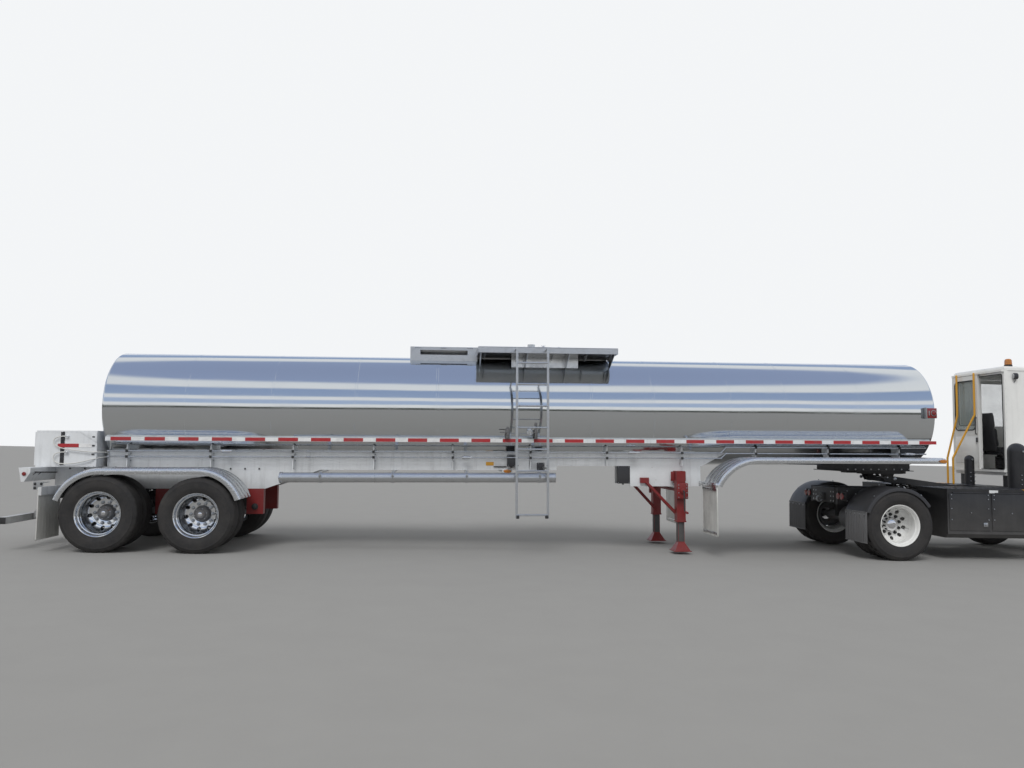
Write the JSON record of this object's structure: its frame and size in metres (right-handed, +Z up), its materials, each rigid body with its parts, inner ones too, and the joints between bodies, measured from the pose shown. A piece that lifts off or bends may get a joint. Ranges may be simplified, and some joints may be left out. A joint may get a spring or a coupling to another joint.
{
  "type": "tank semi-trailer with terminal tractor",
  "caption": "Polished stainless road tank semi-trailer coupled to a white one-seat terminal tractor with a lifting fifth wheel.",
  "frame": {"origin": "on the ground under the middle of the whole combination", "axes": "+X forward along the vehicle, +Y to its left, +Z up"},
  "size_m": [16.3292, 2.5286, 3.1703],
  "materials": {
    "tank_skin": "polished",
    "white_paint": "gloss",
    "black_paint": "satin",
    "red_paint": "satin",
    "grey_paint": "satin",
    "bright_aluminium": "polished",
    "cast_hub": "plain",
    "tyre_rubber": "matte",
    "flap_rubber": "matte",
    "lamp_red": "gloss",
    "lamp_clear": "gloss",
    "window_glass": "clear",
    "seat_cloth": "matte",
    "dark_plastic": "matte",
    "rail_yellow": "gloss",
    "stainless": "brushed"
  },
  "bodies": {
    "trailer": {"bogie_frame": "white_paint", "cabinet": "white_paint", "coupler": "black_paint", "frame_rails": "white_paint", "hose_tube": "bright_aluminium", "ladder": "bright_aluminium", "landing_gear": "red_paint", "manhole": "white_paint", "mudflaps": "flap_rubber", "pipework": "stainless", "platform": "bright_aluminium", "rear_guard": "black_paint", "rear_hose_lower": "flap_rubber", "rear_hose_upper": "flap_rubber", "suspension_hangers": "red_paint", "tank": "tank_skin", "trailer_axles": "grey_paint", "trailer_fenders": "bright_aluminium", "trailer_lamps": "lamp_red"},
    "rear_wheels_left": {"tyres_rear_axle_left": "tyre_rubber", "wheels_rear_axle_left": "bright_aluminium"},
    "rear_wheels_right": {"tyres_rear_axle_right": "tyre_rubber", "wheels_rear_axle_right": "bright_aluminium"},
    "front_wheels_left": {"tyres_front_axle_left": "tyre_rubber", "wheels_front_axle_left": "bright_aluminium"},
    "front_wheels_right": {"tyres_front_axle_right": "tyre_rubber", "wheels_front_axle_right": "bright_aluminium"},
    "cabinet_door": {"cabinet_door": "white_paint"},
    "manhole_lid": {"manhole_lid": "stainless"},
    "fifth_wheel": {"fifth_wheel": "black_paint"},
    "boom": {"boom": "black_paint"},
    "tractor": {"chassis": "black_paint", "deck": "black_paint", "engine": "grey_paint", "tractor_axles": "black_paint", "tractor_fenders": "black_paint", "hood": "white_paint", "front_bumper": "black_paint", "tractor_lamps": "lamp_clear", "handrails": "rail_yellow"},
    "lift_barrels": {"lift_barrels": "black_paint"},
    "lift_rods": {"lift_rods": "stainless"},
    "drive_wheels_left": {"tyres_drive_left": "tyre_rubber", "wheels_drive_left": "white_paint"},
    "drive_wheels_right": {"tyres_drive_right": "tyre_rubber", "wheels_drive_right": "white_paint"},
    "knuckle_left": {"knuckle_left": "cast_hub"},
    "knuckle_right": {"knuckle_right": "cast_hub"},
    "steer_wheel_left": {"tyre_steer_left": "tyre_rubber", "wheel_steer_left": "white_paint"},
    "steer_wheel_right": {"tyre_steer_right": "tyre_rubber", "wheel_steer_right": "white_paint"},
    "cab": {"cab_shell": "white_paint", "cab_glass": "window_glass", "seat": "seat_cloth", "dashboard": "dark_plastic", "cab_fittings": "dark_plastic"},
    "sliding_door": {"sliding_door": "white_paint"},
    "side_door": {"side_door": "white_paint"},
    "steering_wheel": {"steering_wheel": "dark_plastic"}
  },
  "joints": [
    {"name": "trailer_wheel_rear_left", "type": "hinge", "parent": "trailer", "child": "rear_wheels_left", "pos_m": [-6.92537, 0, 0.505], "axis": [0, 1, 0], "continuous": true},
    {"name": "trailer_wheel_rear_right", "type": "hinge", "parent": "trailer", "child": "rear_wheels_right", "pos_m": [-6.92537, 0, 0.505], "axis": [0, 1, 0], "continuous": true},
    {"name": "trailer_wheel_front_left", "type": "hinge", "parent": "trailer", "child": "front_wheels_left", "pos_m": [-5.66537, 0, 0.505], "axis": [0, 1, 0], "continuous": true},
    {"name": "trailer_wheel_front_right", "type": "hinge", "parent": "trailer", "child": "front_wheels_right", "pos_m": [-5.66537, 0, 0.505], "axis": [0, 1, 0], "continuous": true},
    {"name": "drive_wheel_left", "type": "hinge", "parent": "tractor", "child": "drive_wheels_left", "pos_m": [4.21762, 0, 0.505], "axis": [0, 1, 0], "continuous": true},
    {"name": "drive_wheel_right", "type": "hinge", "parent": "tractor", "child": "drive_wheels_right", "pos_m": [4.21762, 0, 0.505], "axis": [0, 1, 0], "continuous": true},
    {"name": "steer_left", "type": "hinge", "parent": "tractor", "child": "knuckle_left", "pos_m": [7.21462, 0.835, 0.505], "axis": [0, 0, 1], "range_deg": [-38, 38]},
    {"name": "front_wheel_left", "type": "hinge", "parent": "knuckle_left", "child": "steer_wheel_left", "pos_m": [7.21462, 1.01, 0.505], "axis": [0, 1, 0], "continuous": true},
    {"name": "steer_right", "type": "hinge", "parent": "tractor", "child": "knuckle_right", "pos_m": [7.21462, -0.835, 0.505], "axis": [0, 0, 1], "range_deg": [-38, 38]},
    {"name": "front_wheel_right", "type": "hinge", "parent": "knuckle_right", "child": "steer_wheel_right", "pos_m": [7.21462, -1.01, 0.505], "axis": [0, 1, 0], "continuous": true},
    {"name": "cabinet_door_swing", "type": "hinge", "parent": "trailer", "child": "cabinet_door", "pos_m": [-8.00024, 0.772, 1.09445], "axis": [0.018, 0, -0.9998], "range_deg": [0, 110]},
    {"name": "manhole_lid_swing", "type": "hinge", "parent": "trailer", "child": "manhole_lid", "pos_m": [-1.25408, 0, 3.03733], "axis": [0, -1, 0], "range_deg": [0, 110]},
    {"name": "kingpin_yaw", "type": "hinge", "parent": "trailer", "child": "fifth_wheel", "pos_m": [4.59762, 0, 1.27093], "axis": [-0.018, 0, 0.9998], "range_deg": [-90, 90]},
    {"name": "fifth_wheel_pitch", "type": "hinge", "parent": "fifth_wheel", "child": "boom", "pos_m": [4.59969, 0, 1.15595], "axis": [0, 1, 0], "range_deg": [-5, 8]},
    {"name": "boom_lift", "type": "hinge", "parent": "boom", "child": "tractor", "pos_m": [6.24762, 0, 0.96], "axis": [0, -1, 0], "range_deg": [-2.5, 10]},
    {"name": "lift_barrel_tilt", "type": "hinge", "parent": "tractor", "child": "lift_barrels", "pos_m": [5.56762, 0, 0.56], "axis": [0, -1, 0], "range_deg": [-12.12, 3.07]},
    {"name": "lift_rod_slide", "type": "slide", "parent": "lift_barrels", "child": "lift_rods", "axis": [-0.7208, 0, 0.6932], "range_m": [-0.03424, 0.13544]},
    {"name": "cab_tilt", "type": "hinge", "parent": "tractor", "child": "cab", "pos_m": [8.03762, 0, 1.15], "axis": [0, 1, 0], "range_deg": [0, 45]},
    {"name": "sliding_door_slide", "type": "slide", "parent": "cab", "child": "sliding_door", "axis": [0, 1, 0], "range_m": [-0.58, 0]},
    {"name": "side_door_swing", "type": "hinge", "parent": "cab", "child": "side_door", "pos_m": [7.88062, 1.212, 1.32], "axis": [0, 0, -1], "range_deg": [0, 75]},
    {"name": "steering_column", "type": "hinge", "parent": "cab", "child": "steering_wheel", "pos_m": [7.7904, 0.635, 2.0884], "axis": [-0.5736, 0, 0.8192], "range_deg": [-690, 690]}
  ],
  "couplings": [
    {"joint": "steer_right", "follows": "steer_left", "ratio": 1},
    {"joint": "steering_column", "follows": "steer_left", "ratio": 18},
    {"joint": "lift_barrel_tilt", "follows": "boom_lift", "ratio": -1.2069},
    {"joint": "lift_rod_slide", "follows": "boom_lift", "m_per_rad": 0.77315}
  ]
}
